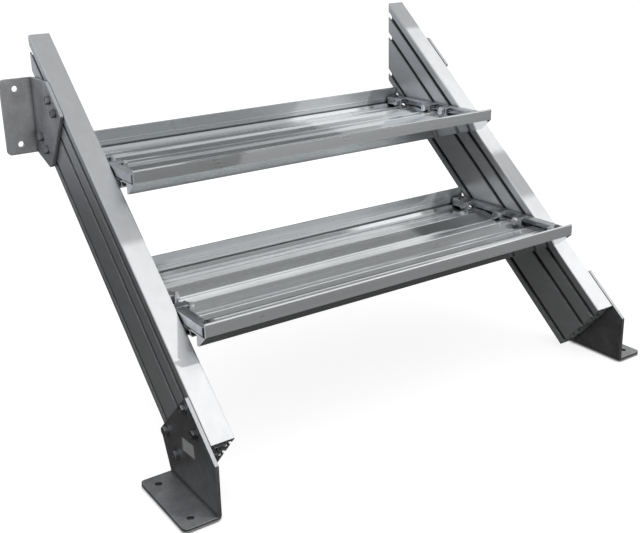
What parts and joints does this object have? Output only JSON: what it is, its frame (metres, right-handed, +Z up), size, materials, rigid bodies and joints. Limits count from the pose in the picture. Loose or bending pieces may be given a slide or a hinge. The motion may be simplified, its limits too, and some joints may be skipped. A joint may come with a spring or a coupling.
{
  "type": "caravan step",
  "caption": "Two-tread caravan step of sloping slotted aluminium stringers with ribbed profile treads, sill brackets and flat foot plates.",
  "frame": {"origin": "middle of the four holes in the two sill flanges, in the plane where the flanges rest on the caravan's wall", "axes": "+Z up, +Y towards the caravan, so the step is climbed along +Y; X across the step, mirrored about X = 0"},
  "size_m": [0.974, 0.6407, 0.6331],
  "materials": {
    "anodised_stringer": "satin anodised aluminium profile",
    "sill_plate": "grey plated steel plate, mottled",
    "fastener": "bright zinc plated steel",
    "slot_nut": "zinc plated steel",
    "foot_plate": "dark plated steel plate, satin",
    "label": "blank printed foil label",
    "bare_profile": "mill finish aluminium profile",
    "tread_bracket": "cast aluminium",
    "deck_screw": "zinc plated steel"
  },
  "bodies": {
    "sill_brackets": {"left_sill_bracket": "sill_plate", "right_sill_bracket": "sill_plate", "left_sill_bolts": "fastener", "right_sill_bolts": "fastener", "left_sill_washers": "fastener", "right_sill_washers": "fastener", "left_sill_nuts": "slot_nut", "right_sill_nuts": "slot_nut"},
    "rails": {"left_stringer": "anodised_stringer", "right_stringer": "anodised_stringer"},
    "left_foot": {"left_foot_bracket": "foot_plate", "left_foot_bolts": "fastener", "left_foot_washers": "fastener", "left_foot_nuts": "slot_nut", "blank_label": "label"},
    "right_foot": {"right_foot_bracket": "foot_plate", "right_foot_bolts": "fastener", "right_foot_washers": "fastener", "right_foot_nuts": "slot_nut"},
    "lower_tread": {"lower_nosing": "bare_profile", "lower_front_plank": "bare_profile", "lower_rear_plank": "bare_profile", "lower_rear_profile": "bare_profile", "lower_left_bracket": "tread_bracket", "lower_right_bracket": "tread_bracket", "lower_left_bolts": "fastener", "lower_right_bolts": "fastener", "lower_left_washers": "fastener", "lower_right_washers": "fastener", "lower_left_nuts": "slot_nut", "lower_right_nuts": "slot_nut", "lower_left_screws": "deck_screw", "lower_right_screws": "deck_screw"},
    "upper_tread": {"upper_nosing": "bare_profile", "upper_front_plank": "bare_profile", "upper_rear_plank": "bare_profile", "upper_rear_profile": "bare_profile", "upper_left_bracket": "tread_bracket", "upper_right_bracket": "tread_bracket", "upper_left_bolts": "fastener", "upper_right_bolts": "fastener", "upper_left_washers": "fastener", "upper_right_washers": "fastener", "upper_left_nuts": "slot_nut", "upper_right_nuts": "slot_nut", "upper_left_screws": "deck_screw", "upper_right_screws": "deck_screw"}
  },
  "joints": [
    {"name": "sill_slide", "type": "slide", "parent": "sill_brackets", "child": "rails", "axis": [0, 0.7604, 0.6494], "range_m": [-0.04, 0]},
    {"name": "left_foot_slide", "type": "slide", "parent": "rails", "child": "left_foot", "axis": [0, 0.7604, 0.6494], "range_m": [-0.018, 0.01]},
    {"name": "right_foot_slide", "type": "slide", "parent": "rails", "child": "right_foot", "axis": [0, 0.7604, 0.6494], "range_m": [-0.018, 0.01]},
    {"name": "lower_tread_slide", "type": "slide", "parent": "rails", "child": "lower_tread", "axis": [0, 0.7604, 0.6494], "range_m": [-0.03, 0.03]},
    {"name": "upper_tread_slide", "type": "slide", "parent": "rails", "child": "upper_tread", "axis": [0, 0.7604, 0.6494], "range_m": [-0.03, 0.03]}
  ]
}
